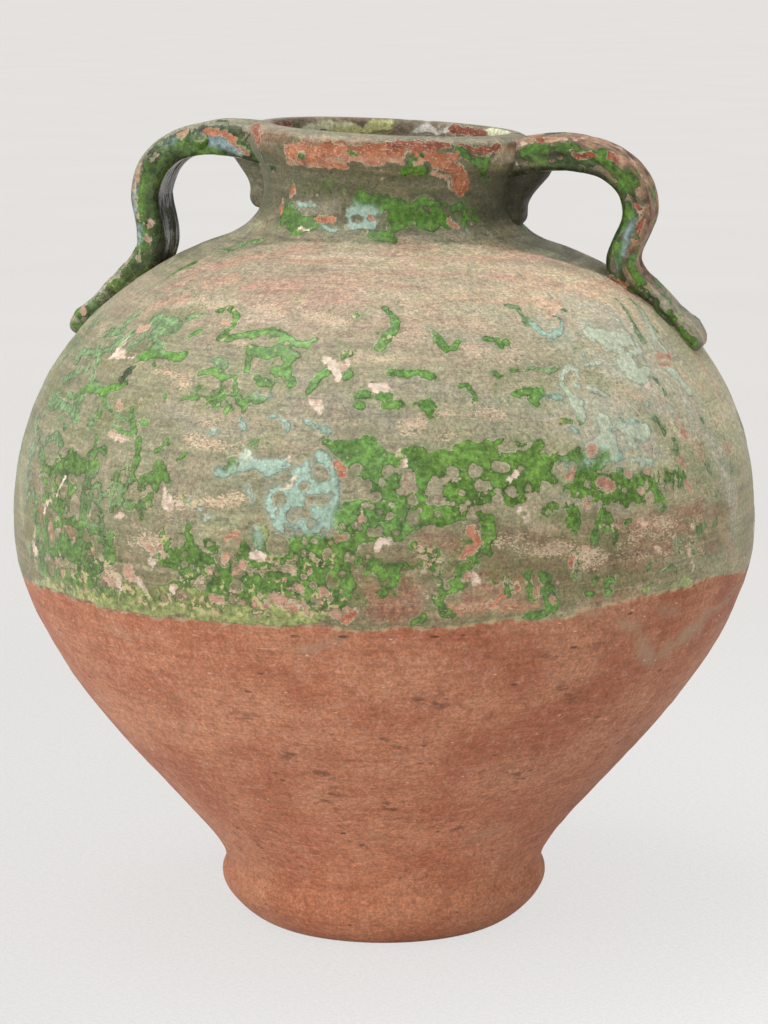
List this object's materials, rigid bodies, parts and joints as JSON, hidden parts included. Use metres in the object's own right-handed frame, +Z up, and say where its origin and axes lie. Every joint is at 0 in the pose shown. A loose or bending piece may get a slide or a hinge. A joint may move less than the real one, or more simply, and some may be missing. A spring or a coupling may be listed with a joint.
{
  "type": "water jar",
  "caption": "Round-bellied earthenware jar on a rolled foot, with a short neck, an overhanging lip and strap handles from the lip to the shoulder.",
  "frame": {"origin": "centre of the foot's flat underside, where the jar rests", "axes": "+Z up along the jar's axis; the handles lie along X, the wider one on +X; -Y is the side shown in the picture, turned about 12 degrees"},
  "size_m": [0.3728, 0.3728, 0.403],
  "materials": {
    "foot_clay": "matt",
    "lower_wall_clay": "matt",
    "upper_wall_glaze": "worn",
    "neck_glaze": "worn",
    "lip_clay": "worn",
    "handle_glaze": "gloss",
    "wad_glaze": "worn"
  },
  "bodies": {
    "root": {"foot_base": "foot_clay", "lower_wall": "lower_wall_clay", "upper_wall": "upper_wall_glaze", "neck_collar": "neck_glaze", "rim_lip": "lip_clay", "left_handle": "handle_glaze", "right_handle": "handle_glaze", "left_luting_wad": "wad_glaze", "right_luting_wad": "wad_glaze", "left_handle_pellet": "handle_glaze"}
  },
  "joints": []
}
